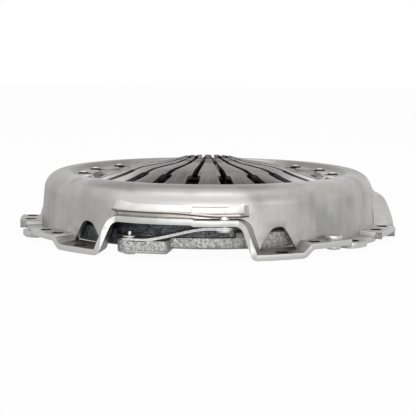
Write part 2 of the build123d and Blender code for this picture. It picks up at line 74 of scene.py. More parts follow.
# ---- sizes shared with the solids, in millimetres ---------------------------------------------------
BRIDGES = 3
FINGERS = 18
SHEET = 4.0
WALL_BASE_R = 131.4
WALL_LEAN = 4.6 / 46.8      # the wall draws in by this much per height
RING_Z = 42.4               # top of the cover's inner ring
FLANGE_HOLES = ((139.5, 30.0), (138.8, 40.6), (138.8, 48.0))    # radius and turn from a bridge
EAR_HOLE = (141.5, 55.5)    # the same from the first bridge
STUD_RING_R = 98.5
WIRE_R = 104.4
WIRE_D = 4.5
UPPER_WIRE_Z = 36.15
SPRING_T = 2.8
SPRING_SLOPE = radians(17.74)
SPRING_OUT_R = 118.0
CONE_IN_R = 63.0            # the spring is a straight cone from here outward
KNEE_R = 58.0
KNEE_Z = 50.2
TIP_BEND_R = 31.0           # the tips are bent up from here inward
TIP_BEND_Z = 54.0
TIP_R = 19.5
TIP_Z = 57.0
WINDOW_HALF = 4.8           # half width of the window at a slot's end
WINDOW_CORNER = 3.0
WINDOW_IN_R = 61.0
WINDOW_OUT_R = 102.15
FACE_Z = 4.3                # friction face
POCKET_Z = 11.9             # floor of the pocket under each strap
PLATE_OUT_R = 124.8         # only the lugs reach past this
STRAP_LEAVES = 3
LEAF_T = 0.6
LEAF_PITCH = 0.63
STRAP_W = 14.0
STRAP_D = 129.0             # distance of a strap's middle line from the axis
STRAP_HALF = 32.3           # from a strap's middle to its rivets
STRAP_FLAT = 10.5           # level stretch from a rivet to the bend
STRAP_LOW_Z = 10.93
STRAP_TOP_Z = 21.9

# ---- places and pitches round the axis, in radians from +X ------------------------------------------
FIRST_BRIDGE = -pi / 2
BRIDGE_PITCH = 2 * pi / BRIDGES
STUD_PITCH = 2 * pi / FINGERS
HALF_PITCH = pi / FINGERS

# ---- spring, in millimetres -------------------------------------------------------------------------
SLOT_TIP_HALF = 1.3         # half width of a slot at the fingers' tips
SLOT_HALF = 2.15            # and from here outward
SLOT_HALF_R = 50.0
FINGER_CROWN = 0.25         # a finger's edges lie lower than its middle by this much
CROWN_FADE = 6.0            # past the windows the crown dies away over this length
KNEE_ROUND = 6.5            # half length over which the knee is rounded
TIP_ROUND = 1.6             # and the bend of the tips
TIP_SIDE_R = 40.0           # the tips' rounding holds inside this radius
TIP_PAST = 6.0              # the line of the top runs on inside the tips by this much
CONE_RUN = 60.0             # and from the cone's inner end over this length, past the rim

# ---- reshaped cover: zones run from nothing to full, in millimetres or degrees from a bridge ---------
DRAWN_FROM_R = 132.0        # what reaches past this radius is drawn in
BRIDGE_DRAW = 0.17          # by this share
LEG_DRAW = 0.11             # and by this share more at the tops of the legs
DRAW_GROWS_Z = (4.2, 24.2)
DRAW_ABOVE_Z = (4.2, 10.2)
DRAW_BELOW_Z = (29.0, 27.0)
BRIDGE_ZONE = (26.0, 24.0)
LEG_ZONE = (12.0, 16.0)
WINDOW_WIDER = 1.4          # degrees
WINDOW_LOWER = 0.8
WINDOW_OUTSIDE_R = (135.5, 134.0)
WINDOW_INSIDE_R = (115.0, 120.0)
WINDOW_TOP_Z = (23.0, 21.0)
FAR_SIDE = (25.5, 31.5)
FAR_SIDE_END = (38.5, 35.5)
ARCH_Z = (12.0, 19.0)
ARCH_NEAR = (23.0, 25.0)
ARCH_FAR = (37.0, 35.0)

# ---- sills and lips of the cover, in millimetres and degrees from a bridge ---------------------------
SILL_TURN = 30.7
SILL_HALF = 6.0
SILL_IN_R = 126.4
SILL_OUT_R = 131.5
SILL_UNDER_Z = 2.5
SILL_TOP_Z = 4.9
LIP_FROM, LIP_TO = -21.2, 21.6
LIP_FADE = 3.5              # the flare's ends die away over this angle
LIP_END_SHARE = 0.35        # share of the flare that is left at its very ends
LIP_POWER = 1.3
LIP_R = 133.2
LIP_EDGE_Z = 30.2
LIP_SINK = 2.0              # the edge lies lower over the strap's seat
LIP_SINK_FROM, LIP_SINK_TO = -2.0, 13.0
LIP_PROUD = 0.05            # the flare stands off the wall by this much
LIP_TUCK = 0.25             # less this at its top, which is tucked in
CREASE_Z = 33.9
CREASE_RISE = 1.8           # the crease lies higher at the ends
LIP_CUT_IN, LIP_CUT_DOWN = 0.5, 1.2     # slope of the cut edge
LIP_BACK_IN, LIP_BACK_DOWN = 1.7, 1.5   # the face under the edge stands back from it
LIP_BACK_OFF = 0.1          # that face clears the wall by this much, its foot by as much again
LIP_ROOT_IN = 4.6           # depth of the lip from its edge into the wall
LIP_ROOT_RISE = 0.4
LIP_FOOT_Z = 26.3           # about the top of the bridge

# ---- soft edges, in millimetres ---------------------------------------------------------------------
EDGE_WIDTHS = {"cover": 0.6, "iron": 0.5, "rivet": 0.25, "stud": 0.3}
SPRING_EDGE = 0.35
BAR_EDGE = 0.25

# ---- stage, light and camera, in metres and degrees --------------------------------------------------
FLOOR_GAP = 0.0001
FLOOR_HALF = 8.0
CAMERA_GLOW = 0.96          # share of the floor that glows for the camera
GLOSSY_GLOW = 0.35          # and in reflections
AMBIENT = 0.6
CAMERA_DISTANCE = 0.8
CAMERA_TURN = 9.3
CAMERA_LIFT = 7.65
CAMERA_ROLL = 0.4
AIM_Z = 15.9 * MM
SENSOR_W = 36.0             # millimetres
PICTURE_W = 416 / 1257      # what the picture shows at the axis: its pixels over pixels per metre


# ---- shader maths -----------------------------------------------------------------------------------
class Value:
    """A socket in a material; arithmetic on it adds Math nodes."""

    def __init__(self, tree, socket):
        self.tree = tree
        self.socket = socket

    def node(self, kind, inputs=(), output=0, **settings):
        """Add one node: its settings first, then values or links for its sockets."""
        new = self.tree.nodes.new(kind)
        for key, setting in settings.items():
            setattr(new, key, setting)
        pairs = inputs.items() if isinstance(inputs, dict) else enumerate(inputs)
        for key, item in pairs:
            if isinstance(item, Value):
                self.tree.links.new(item.socket, new.inputs[key])
            else:
                new.inputs[key].default_value = item
        return None if output is None else Value(self.tree, new.outputs[output])

    def sisters(self, *keys):
        """Other outputs of the node that this socket belongs to."""
        return [Value(self.tree, self.socket.node.outputs[key]) for key in keys]

    def parts(self):
        """The three parts of this vector."""
        return self.node("ShaderNodeSeparateXYZ", (self,)).sisters(0, 1, 2)

    def maths(self, operation, *others):
        """One Math node on this value and up to two others."""
        return self.node("ShaderNodeMath", (self, *others), operation=operation)

    def __add__(self, other):
        return self.maths("ADD", other)

    def __sub__(self, other):
        return self.maths("SUBTRACT", other)

    def __mul__(self, other):
        return self.maths("MULTIPLY", other)

    def __truediv__(self, other):
        return self.maths("DIVIDE", other)

    def __rsub__(self, other):
        return self.node("ShaderNodeMath", (other, self), operation="SUBTRACT")

    __radd__ = __add__
    __rmul__ = __mul__

    def step(self, low, high):
        """0 below low, 1 above high and a smooth rise between them."""
        return self.node("ShaderNodeMapRange", {"Value": self, "From Min": low, "From Max": high},
                         interpolation_type="SMOOTHSTEP")

    def step_mm(self, low, high):
        """The same for a length, with its limits in millimetres."""
        return self.step(low * MM, high * MM)

    def between(self, low, high, soft):
        """1 between low and high, with soft ends."""
        return self.step(low - soft, low + soft) * (1 - self.step(high - soft, high + soft))

    def between_mm(self, low, high, soft):
        """The same for a length, with its limits in millimetres."""
        return self.between(low * MM, high * MM, soft * MM)

    def noise(self, scale, detail=2.0, roughness=0.5, stretch=None):
        """Noise on this vector; stretch scales the axes first."""
        where = self
        if stretch:
            where = self.node("ShaderNodeMapping", {"Vector": self, "Scale": stretch})
        return self.node("ShaderNodeTexNoise",
                         {"Vector": where, "Scale": scale, "Detail": detail, "Roughness": roughness})


def rgba(colour):
    """Colour with its alpha; a socket stays as it is."""
    return colour if isinstance(colour, Value) else (*colour, 1.0)


def mix_colour(mask, low, high):
    """Mix two colours by a mask."""
    return mask.node("ShaderNodeMix", {0: mask, 6: rgba(low), 7: rgba(high)}, 2, data_type="RGBA")


def finish_start(name, metallic):
    """New material with a Principled shader; returns it with its object coordinates."""
    material = bpy.data.materials.new(name)
    material.use_nodes = True
    tree = material.node_tree
    shader = tree.nodes["Principled BSDF"]
    shader.inputs["Metallic"].default_value = metallic
    return material, shader, Value(tree, None).node("ShaderNodeTexCoord", output="Object")


def drive(shader, socket, value):
    """Feed one shader socket."""
    shader.id_data.links.new(value.socket, shader.inputs[socket])


def bump(height, distance, strength):
    """Normal from a height whose value 1 stands for distance, in metres."""
    return height.node("ShaderNodeBump", {"Strength": strength, "Distance": distance, "Height": height})


def polar_parts(place):
    """Radius sqrt(x^2 + y^2), turn atan2(y, x) in radians and height of object coordinates."""
    x, y, z = place.parts()
    return (x * x + y * y).maths("SQRT"), y.maths("ARCTAN2", x), z


def upward(place):
    """Upward part of the surface's direction: 1 on level tops, -1 on undersides."""
    return place.node("ShaderNodeTexCoord", output="Normal").parts()[2]


def outward(place, radius):
    """Part of the surface's direction that points away from the axis: (n_x x + n_y y) / radius."""
    along = place.node("ShaderNodeTexCoord", output="Normal").parts()
    here = place.parts()
    return (along[0] * here[0] + along[1] * here[1]) / radius


def from_nearest(turn, first, pitch):
    """Turn away from the nearest of several places, the first of which lies at first."""
    return (turn - first).maths("PINGPONG", pitch / 2)


def near_point(radius, aside, circle, reach):
    """1 within reach of a point on a circle, both in millimetres. The turn aside from the point gives
    the way along the circle, and the distance is sqrt(along^2 + across^2)."""
    along = aside * (circle * MM)
    across = radius - circle * MM
    return 1 - (along * along + across * across).maths("SQRT").step_mm(reach - 0.2, reach + 0.2)


def ring_vector(radius, turn, z, turn_scale=0.13):
    """Vector (radius, turn made into a length, height), so that noise can follow the turning."""
    return radius.node("ShaderNodeCombineXYZ", (radius, turn * turn_scale, z))


# ---- finishes ---------------------------------------------------------------------------------------
def flange_bores(radius, turn):
    """1 at the holes of the feet and pads, which repeat from both sides of a bridge, and of the ear."""
    away = from_nearest(turn, FIRST_BRIDGE, BRIDGE_PITCH)
    from_first = from_nearest(turn, FIRST_BRIDGE, 2 * pi)
    bores = near_point(radius, from_first - radians(EAR_HOLE[1]), EAR_HOLE[0], 4.5)
    for circle, hole_turn in FLANGE_HOLES:
        bores = bores.maths("MAXIMUM", near_point(radius, away - radians(hole_turn), circle, 5.0))
    return bores


def stud_seat_shade(radius, turn, z):
    """1 on the floor of the inner ring between its lands, and in a narrow ring round each stud: where
    painted shade goes.
    """
    beside = from_nearest(turn, FIRST_BRIDGE, STUD_PITCH)
    ring = near_point(radius, beside, STUD_RING_R, 5.0) * (1 - near_point(radius, beside, STUD_RING_R, 4.2))
    floor = radius.between_mm(92.5, 103.5, 0.3) * z.between_mm(RING_Z - 0.9, RING_Z + 0.25, 0.1)
    return floor.maths("MAXIMUM", ring * z.step_mm(RING_Z - 1.4, RING_Z - 0.9))


def pressed_steel():
    """Tumbled sheet: satin grey with clouds and drawing marks. It has a painted highlight on the wall over
    the bridges and painted shade on the shoulders above them and on its front towards -X, is darker and
    browner on the feet, brighter on its cut rim, and has painted shade in its bores and round its studs."""
    material, shader, place = finish_start("pressed_steel", 1.0)
    radius, turn, z = polar_parts(place)
    up = upward(place)
    away = from_nearest(turn, FIRST_BRIDGE, BRIDGE_PITCH)
    swept = ring_vector(radius, turn, z)
    cloud = place.noise(24, 4, 0.6)
    blot = swept.noise(42, 3, 0.5, stretch=(1.0, 1.0, 0.5))
    drawn = swept.noise(70, 3, 0.6, stretch=(1.0, 1.0, 0.15))
    grain = place.noise(1100, 2, 0.6)
    tone = cloud * 0.55 + drawn * 0.25 + grain * 0.2

    upright = 1 - up.maths("ABSOLUTE").step(0.3, 0.6)
    # painted highlight: a lighter band on the wall over each bridge, 28 to 43.5 mm up
    wall_highlight = (1 - away.step(0.31, 0.44)) * z.step_mm(28, 31) * (1 - z.step_mm(39.5, 43.5))
    # painted shade: the shoulder over each bridge is coloured darker
    shoulder_shade = (1 - away.step(0.4, 0.8)) * z.step_mm(41.5, 44.5)
    # the tops of the feet beside the bridges are darker and browner
    feet = up.step(0.8, 0.9) * (1 - z.step_mm(SHEET + 0.5, SHEET + 1.5)) * (1 - away.step(0.66, 0.68))
    rim = upright * outward(place, radius).step(0.6, 0.75) * radius.step_mm(136.5, 137.5)
    # painted shade: the bores in the flange are coloured near black
    bores = flange_bores(radius, turn) * upright * (1 - z.step_mm(9.2, 9.6))
    # painted shade on the front towards -X
    shaded = 1 - turn.step(-2.8, -2.3)

    colour = mix_colour(tone.step(0.34, 0.66), (0.36, 0.355, 0.34), (0.50, 0.495, 0.48))
    colour = mix_colour(blot.step(0.5, 0.66) * 0.6, colour, (0.27, 0.27, 0.275))
    colour = mix_colour(wall_highlight, colour, (0.60, 0.595, 0.58))
    colour = mix_colour(shoulder_shade * 0.75, colour, (0.20, 0.195, 0.19))
    colour = mix_colour(feet, colour, (0.27, 0.25, 0.225))
    colour = mix_colour(rim, colour, (0.56, 0.56, 0.55))
    colour = mix_colour(bores, colour, (0.04, 0.038, 0.035))
    colour = mix_colour(shaded * 0.5, colour, (0.18, 0.178, 0.17))
    # painted shade, near black, between the lands and round the studs
    colour = mix_colour(stud_seat_shade(radius, turn, z), colour, (0.05, 0.047, 0.042))
    drive(shader, "Base Color", colour)
    drive(shader, "Roughness", 0.26 + cloud * 0.14 + grain * 0.10)
    drive(shader, "Normal", bump(grain * 0.5 + drawn * 0.3 + cloud * 2.0, 0.00012, 0.6))
    return material


def ironed_steel():
    """Lip of the cover, ironed smooth by the punch; its cut edge is brown."""
    material, shader, place = finish_start("ironed_steel", 1.0)
    marks = ring_vector(*polar_parts(place)).noise(240, 3, 0.6, stretch=(0.5, 0.2, 1.0))
    cloud = place.noise(40, 3)
    tone = (marks * 0.4 + cloud * 0.6).step(0.35, 0.65)
    face = mix_colour(tone, (0.36, 0.355, 0.34), (0.47, 0.465, 0.45))
    cut = 1 - upward(place).step(-0.35, -0.2)
    drive(shader, "Base Color", mix_colour(cut, face, (0.30, 0.225, 0.17)))
    drive(shader, "Roughness", 0.2 + cloud * 0.14)
    drive(shader, "Normal", bump(cloud + marks * 0.2, 0.00015, 0.5))
    return material


def spring_steel():
    """Shot-peened spring steel, brushed along the fingers. The fingers near the first bridge are brown with
    a painted dark reflection growing outward, the rest get a painted highlight outward, and a painted
    shade line runs round below the tips."""
    material, shader, place = finish_start("spring_steel", 1.0)
    radius, turn, z = polar_parts(place)
    brushed = ring_vector(radius, turn, z, 0.06).noise(420, 3, 0.65, stretch=(0.06, 1.0, 0.06))
    cloud = place.noise(40, 3, 0.6)
    tone = (brushed * 0.4 + cloud * 0.6).step(0.38, 0.62)
    inner = mix_colour(tone, (0.12, 0.107, 0.108), (0.22, 0.205, 0.206))
    # painted dark reflection: the front fingers are coloured darker outward
    outer_shade = mix_colour(tone, (0.045, 0.038, 0.036), (0.10, 0.088, 0.084))
    # painted highlight: the fingers away from the front are coloured lighter outward
    far_sheen = mix_colour(tone, (0.48, 0.475, 0.47), (0.75, 0.745, 0.74))
    front = mix_colour(radius.step_mm(58, 78), inner, outer_shade)
    others = mix_colour(radius.step_mm(50, 90), inner, far_sheen)
    in_front = 1 - from_nearest(turn, FIRST_BRIDGE + 0.16, 2 * pi).step(0.6, 1.1)
    # painted shade: a dark line round the spring below the tips
    line = radius.between_mm(24.5, 26.2, 0.4)
    fingers = mix_colour(in_front, others, front)
    drive(shader, "Base Color", mix_colour(line, fingers, (0.03, 0.028, 0.028)))
    drive(shader, "Roughness", 0.26 + brushed * 0.18)
    drive(shader, "Normal", bump(brushed * 0.3 + cloud * 3.0, 0.0001, 0.5))
    return material


def bright_steel(name, dark, light, roughness, head_z=None):
    """Rolled or turned steel with fine marks. A stud, which gives the height of its cap in head_z, has a
    painted highlight in the middle of that cap and painted shade, near black, elsewhere."""
    material, shader, place = finish_start(name, 1.0)
    marks = place.noise(500, 3, 0.6, stretch=(1, 1, 0.3))
    cloud = place.noise(90, 2)
    colour = mix_colour((marks * 0.5 + cloud * 0.5).step(0.36, 0.64), dark, light)
    if head_z:
        radius, turn, z = polar_parts(place)
        beside = from_nearest(turn, FIRST_BRIDGE, STUD_PITCH)
        # painted highlight in the middle of a stud's cap, painted shade round it
        head_glint = near_point(radius, beside, STUD_RING_R, 2.7) * z.step_mm(head_z - 0.5, head_z)
        colour = mix_colour(head_glint, (0.03, 0.03, 0.03), colour)
    drive(shader, "Base Color", colour)
    drive(shader, "Roughness", (roughness - 0.06) + marks * 0.14)
    drive(shader, "Normal", bump(marks, 0.00006, 0.5))
    return material


def cast_iron():
    """Sand-cast iron with a ground friction face. Painted shade darkens it above the pockets' floor, and
    all of it but the lugs from -155 to -103 degrees; between -72 and 34 degrees, where more light falls,
    the painted shade is weak."""
    material, shader, place = finish_start("cast_iron", 0.9)
    radius, turn, z = polar_parts(place)
    grains = place.noise(1400, 3, 0.65)
    lumps = place.noise(420, 3, 0.6)
    sparkle = (grains * 0.65 + lumps * 0.35).step(0.38, 0.62)
    rings = ring_vector(radius, turn, z, 0.004).noise(2600, 2, 0.6, stretch=(1, 0.02, 0.02))
    ground = 1 - z.step_mm(FACE_Z, FACE_Z + 0.2)
    # less painted shade on this side, where more light falls
    lit_side = turn.between(-1.25, 0.6, 0.1)
    no_lug = 1 - radius.step_mm(PLATE_OUT_R + 0.7, PLATE_OUT_R + 1.2)
    # painted shade on the side towards -X, except on the lugs
    lower = turn.between(-2.7, -1.8, 0.05) * no_lug
    iron_shade = z.step_mm(POCKET_Z - 0.2, POCKET_Z + 0.4).maths("MAXIMUM", lower) * (1 - lit_side * 0.85)
    skin = mix_colour(sparkle, (0.21, 0.21, 0.205), (0.62, 0.62, 0.60))
    # painted shade: the colour that darkens the iron
    scale = mix_colour(sparkle, (0.03, 0.033, 0.04), (0.17, 0.178, 0.195))
    face = mix_colour(rings.step(0.3, 0.7), (0.34, 0.34, 0.335), (0.5, 0.5, 0.49))
    drive(shader, "Base Color", mix_colour(ground, mix_colour(iron_shade, skin, scale), face))
    drive(shader, "Roughness", 0.34 + (1 - ground) * (1 - sparkle) * 0.3)
    height = (1 - ground) * (grains * 0.5 + lumps * 0.7) + ground * rings * 0.05
    drive(shader, "Normal", bump(height, 0.0006, 0.9))
    return material


finishes = {
    "cover": pressed_steel(),
    "lip": ironed_steel(),
    "spring_steel": spring_steel(),
    "iron": cast_iron(),
    # painted shade: the fulcrum wires are coloured near black
    "wire": bright_steel("shaded_drawn_wire", (0.05, 0.05, 0.05), (0.09, 0.09, 0.09), 0.4),
    # the studs' near-white colour is a painted highlight
    "stud": bright_steel("stud_glint_steel", (0.8, 0.795, 0.78), (0.95, 0.945, 0.93), 0.3, RING_Z - 0.9),
    "strap": bright_steel("strap_steel", (0.60, 0.595, 0.58), (0.78, 0.775, 0.76), 0.28),
    "rivet": bright_steel("rivet_steel", (0.48, 0.475, 0.46), (0.7, 0.695, 0.68), 0.32),
}


def put_finish(obj, finish):
    """One finish on a whole piece."""
    obj.data.materials.clear()
    obj.data.materials.append(finishes[finish])


def soften(obj, width):
    """Small rounds on the sharp edges of a piece, of a width in millimetres."""
    weld = obj.modifiers.new("weld", "WELD")
    weld.merge_threshold = 0.01 * MM
    edge = obj.modifiers.new("edge", "BEVEL")
    edge.limit_method = "ANGLE"
    edge.angle_limit = radians(28)
    edge.width = width * MM
    edge.segments = 3
    edge.harden_normals = True


def finish_solids():
    """Finish of each solid by its slot in the record, and soft edges where the slot has them."""
    slot_of = {row["node"]: row["material_slot"] for row in frame["record"]["subparts"]}
    for name, node in frame["nodes"].items():
        slot = slot_of[name]
        put_finish(node, slot)
        if slot in EDGE_WIDTHS:
            soften(node, EDGE_WIDTHS[slot])


# ---- meshes -----------------------------------------------------------------------------------------
def new_piece(name, points, quads, finish, body=None):
    """Smooth piece from points in millimetres and quads; it rides a body where one is named."""
    mesh = bpy.data.meshes.new(name)
    mesh.from_pydata((points * MM).tolist(), [], quads.tolist())
    mesh.polygons.foreach_set("use_smooth", np.ones(len(quads), dtype=bool))
    mesh.update()
    piece = bpy.data.objects.new(name, mesh)
    bpy.context.scene.collection.objects.link(piece)
    put_finish(piece, finish)
    if body:
        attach(piece, body)
    return piece


def grid_quads(rows, columns, closed=False):
    """Quads of a grid of points; closed joins its last column to its first."""
    i, j = np.meshgrid(np.arange(rows - 1), np.arange(columns if closed else columns - 1), indexing="ij")
    right = (j + 1) % columns
    here, below = i * columns, (i + 1) * columns
    return np.stack([here + j, here + right, below + right, below + j], -1).reshape(-1, 4)


def ease(x, start, end):
    """0 up to start, 1 from end on and 3s^2 - 2s^3 between, where s is the share of the way; start may
    be the larger one."""
    s = np.clip((x - start) / (end - start), 0, 1)
    return s * s * (3 - 2 * s)


def on_axis(turn, radius, height):
    """Points (r sin t, -r cos t, height), with turns in radians from the first bridge."""
    turn, radius, height = np.broadcast_arrays(turn, radius, height)
    return np.stack([radius * np.sin(turn), -radius * np.cos(turn), height], -1)


def spin(angle):
    """Matrix that turns points about the axis by an angle in radians."""
    return np.array([[cos(angle), -sin(angle), 0], [sin(angle), cos(angle), 0], [0, 0, 1]])


def thicken(piece, thickness, side):
    """Wall of a thickness in millimetres: side 1 builds it above the faces, side -1 below them."""
    thick = piece.modifiers.new("thick", "SOLIDIFY")
    thick.thickness = thickness * MM
    thick.offset = side


def keep_modifiers(piece):
    """Make the modified mesh the piece's own, so that both of its sides follow a joint."""
    ready = piece.evaluated_get(bpy.context.evaluated_depsgraph_get())
    piece.data = bpy.data.meshes.new_from_object(ready)
    piece.modifiers.clear()


def weld_seams(piece):
    """Join points that lie on each other and turn all faces upward."""
    shape = bmesh.new()
    shape.from_mesh(piece.data)
    bmesh.ops.remove_doubles(shape, verts=shape.verts, dist=0.002 * MM)
    bmesh.ops.recalc_face_normals(shape, faces=shape.faces)
    if sum(face.normal.z for face in shape.faces) < 0:
        bmesh.ops.reverse_faces(shape, faces=shape.faces)
    shape.to_mesh(piece.data)
    shape.free()


# ---- diaphragm spring -------------------------------------------------------------------------------
def spring_top(radius):
    """Top of the spring: a straight cone outside, a step at the knee, fingers that rise gently and tips
    bent up. The corners of that line are rounded by averaging it over a short window."""
    slope = tan(SPRING_SLOPE)
    tip_slope = (TIP_Z - TIP_BEND_Z) / (TIP_BEND_R - TIP_R)
    cone_z = UPPER_WIRE_Z - WIRE_D / 2 / cos(SPRING_SLOPE) - (CONE_IN_R - WIRE_R) * slope
    line_r = [TIP_R - TIP_PAST, TIP_R, TIP_BEND_R, KNEE_R, CONE_IN_R, CONE_IN_R + CONE_RUN]
    line_z = [TIP_Z + TIP_PAST * tip_slope, TIP_Z, TIP_BEND_Z, KNEE_Z, cone_z, cone_z - CONE_RUN * slope]
    window = np.where(radius > TIP_SIDE_R, KNEE_ROUND, TIP_ROUND)
    return np.mean([np.interp(radius + w * window, line_r, line_z) for w in np.linspace(-1, 1, 13)], axis=0)


def slot_half(radius):
    """Half width of the slot at this radius: it widens in a straight line from the tips, then comes a
    window with round corners, whose outline is a circle of the corner's radius at both ends."""
    into = np.clip(WINDOW_CORNER - (radius - WINDOW_IN_R), 0, WINDOW_CORNER)
    out = np.clip(WINDOW_CORNER - (WINDOW_OUT_R - radius), 0, WINDOW_CORNER)
    corner = WINDOW_CORNER - np.sqrt(WINDOW_CORNER ** 2 - np.maximum(into, out) ** 2)
    narrow = np.interp(radius, [TIP_R, SLOT_HALF_R], [SLOT_TIP_HALF, SLOT_HALF])
    return np.where(radius <= WINDOW_IN_R, narrow, WINDOW_HALF - corner)


def finger_radii():
    """Radii of a finger's rows: even along the slot and the window, and by equal angles of the circle
    at the window's corners."""
    slot = np.linspace(TIP_R, WINDOW_IN_R, 28)
    corner_in = WINDOW_IN_R + WINDOW_CORNER * (1 - np.cos(np.linspace(0.15, 1.57, 7)))
    window = np.linspace(66, 97, 16)
    corner_out = WINDOW_OUT_R - WINDOW_CORNER * (1 - np.sin(np.linspace(0.1, 1.57, 7)))
    return np.unique(np.round(np.concatenate([slot, corner_in, window, corner_out]), 4))


def spring_sector():
    """One finger and the belt outside its windows, as grids of radius by turn. A finger reaches to both
    sides over the half pitch less the slot's asin(half width / radius), the belt over the whole pitch,
    and the height falls from the middle with the square of the way across."""
    across = np.linspace(-1, 1, 13)
    finger_r = finger_radii()
    reach = HALF_PITCH - np.arcsin(slot_half(finger_r) / finger_r)
    finger_z = spring_top(finger_r)[:, None] - FINGER_CROWN * across[None, :] ** 2
    finger = on_axis(reach[:, None] * across[None, :], finger_r[:, None], finger_z)

    edge = reach[-1]
    belt_r = np.linspace(WINDOW_OUT_R, SPRING_OUT_R, 8)
    belt_turn = np.concatenate([[-HALF_PITCH], across * edge, [HALF_PITCH]])
    crown = FINGER_CROWN * np.clip(np.abs(belt_turn) / edge, 0, 1) ** 2
    fade = ease(belt_r, WINDOW_OUT_R + CROWN_FADE, WINDOW_OUT_R)
    belt_z = spring_top(belt_r)[:, None] - crown[None, :] * fade[:, None]
    return finger, on_axis(belt_turn[None, :], belt_r[:, None], belt_z)


def build_spring():
    """Diaphragm spring: 18 equal sectors, turned by one pitch each and welded where they meet."""
    sector = spring_sector()
    points, quads, base = [], [], 0
    for index in range(FINGERS):
        turned = spin((2 * index + 1) * HALF_PITCH)
        for part in sector:
            rows, columns = part.shape[:2]
            points.append(part.reshape(-1, 3) @ turned.T)
            quads.append(grid_quads(rows, columns) + base)
            base += rows * columns
    spring = new_piece("diaphragm_spring_smooth", np.concatenate(points), np.concatenate(quads),
                       "spring_steel", "cover")
    weld_seams(spring)
    thicken(spring, SPRING_T, -1)
    keep_modifiers(spring)
    soften(spring, SPRING_EDGE)
    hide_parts("diaphragm_spring")
    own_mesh(spring)


# ---- drive straps -----------------------------------------------------------------------------------
def build_leaf(bridge, layer):
    """Leaf of a strap: rows along its length, columns across. The height goes from the lug's level to
    the bridge's by the mean of a smooth S and a straight line; the ends are half circles, where the
    half width is sqrt(R^2 - u^2)."""
    radius = STRAP_W / 2
    end_u = radius * np.sin(np.linspace(0.12, np.pi / 2, 8))
    middle = np.linspace(-STRAP_HALF, STRAP_HALF, 41)
    along = np.concatenate([-STRAP_HALF - end_u[::-1], middle, STRAP_HALF + end_u])
    past = np.clip(np.abs(along) - STRAP_HALF, 0, radius * 0.9999)
    half_w = np.sqrt(radius ** 2 - past ** 2)

    low = STRAP_LOW_Z + layer * LEAF_PITCH
    high = STRAP_TOP_Z - (STRAP_LEAVES - layer) * LEAF_PITCH
    bend = STRAP_HALF - STRAP_FLAT
    straight = np.clip((along + bend) / (2 * bend), 0, 1)
    height = low + (high - low) * 0.5 * (ease(along, -bend, bend) + straight)

    across = np.linspace(-1, 1, 7)
    y = -STRAP_D + half_w[:, None] * across[None, :]
    points = np.stack(np.broadcast_arrays(along[:, None], y, height[:, None]), -1).reshape(-1, 3)
    turned = spin(2 * np.pi * bridge / BRIDGES)
    name = f"strap_{bridge + 1}_leaf_{layer + 1}"
    leaf = new_piece(f"{name}_smooth", points @ turned.T, grid_quads(len(along), len(across)), "strap")
    thicken(leaf, LEAF_T, 1)
    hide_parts(name)
    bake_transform(leaf)


# ---- cover ------------------------------------------------------------------------------------------
def draw_in(radius, z, away):
    """Radii of the bridges and their legs: the overhang past DRAWN_FROM_R shrinks by a share that grows
    with the height, and by a larger one at the legs."""
    share = ease(z, *DRAW_GROWS_Z) * (BRIDGE_DRAW + LEG_DRAW * ease(away, *LEG_ZONE))
    share *= ease(z, *DRAW_ABOVE_Z) * ease(z, *DRAW_BELOW_Z) * ease(away, *BRIDGE_ZONE)
    overhang = radius - DRAWN_FROM_R
    return np.where(overhang > 0, DRAWN_FROM_R + overhang * (1 - share), radius)


def widen_windows(radius, z, away):
    """How far the arched windows' far sides move, in degrees, and their tops sink, in millimetres: each
    is full at its own edge and dies away round it."""
    at_window = ease(radius, *WINDOW_OUTSIDE_R) * ease(radius, *WINDOW_INSIDE_R) * ease(z, *WINDOW_TOP_Z)
    wider = WINDOW_WIDER * ease(away, *FAR_SIDE) * ease(away, *FAR_SIDE_END)
    lower = WINDOW_LOWER * ease(z, *ARCH_Z) * ease(away, *ARCH_NEAR) * ease(away, *ARCH_FAR)
    return wider * at_window, lower * at_window


def build_cover():
    """Pressed cover: a merged copy of its solid, whose bridges and legs are drawn in towards the wall
    and whose arched windows are wider and lower."""
    mesh = frame["nodes"]["cover"].data.copy()
    mesh.name = "cover_pressed"
    merged = bmesh.new()
    merged.from_mesh(mesh)
    bmesh.ops.remove_doubles(merged, verts=merged.verts, dist=0.01 * MM)
    merged.to_mesh(mesh)
    merged.free()

    flat = np.empty(3 * len(mesh.vertices))
    mesh.vertices.foreach_get("co", flat)
    x, y, z = flat.reshape(-1, 3).T / MM
    turn = np.degrees(np.arctan2(x, -y))
    sector = 360 / BRIDGES
    from_bridge = turn - np.round(turn / sector) * sector
    away = np.abs(from_bridge)
    radius = draw_in(np.hypot(x, y), z, away)
    wider, lower = widen_windows(radius, z, away)
    shaped = on_axis(np.radians(turn + np.sign(from_bridge) * wider), radius, z - lower)
    mesh.vertices.foreach_set("co", (shaped * MM).ravel())
    mesh.update()

    cover = bpy.data.objects.new("cover_pressed", mesh)
    bpy.context.scene.collection.objects.link(cover)
    put_finish(cover, "cover")
    soften(cover, EDGE_WIDTHS["cover"])
    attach(cover, "cover")
    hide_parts("cover")


def build_bar(name, bridge, turn, section, finish):
    """Closed bar that rides the cover: its section, given as radii and heights, follows the turns."""
    points = np.stack([on_axis(turn, r, z) for r, z in section], 1).reshape(-1, 3)
    columns = len(section)
    turned = spin(2 * np.pi * bridge / BRIDGES)
    bar = new_piece(name, points @ turned.T, grid_quads(len(turn), columns, closed=True), finish, "cover")
    shape = bmesh.new()
    shape.from_mesh(bar.data)
    shape.verts.ensure_lookup_table()
    corners = list(shape.verts)
    shape.faces.new(corners[:columns])
    shape.faces.new(corners[-columns:][::-1])
    bmesh.ops.recalc_face_normals(shape, faces=shape.faces)
    shape.to_mesh(bar.data)
    shape.free()
    soften(bar, BAR_EDGE)


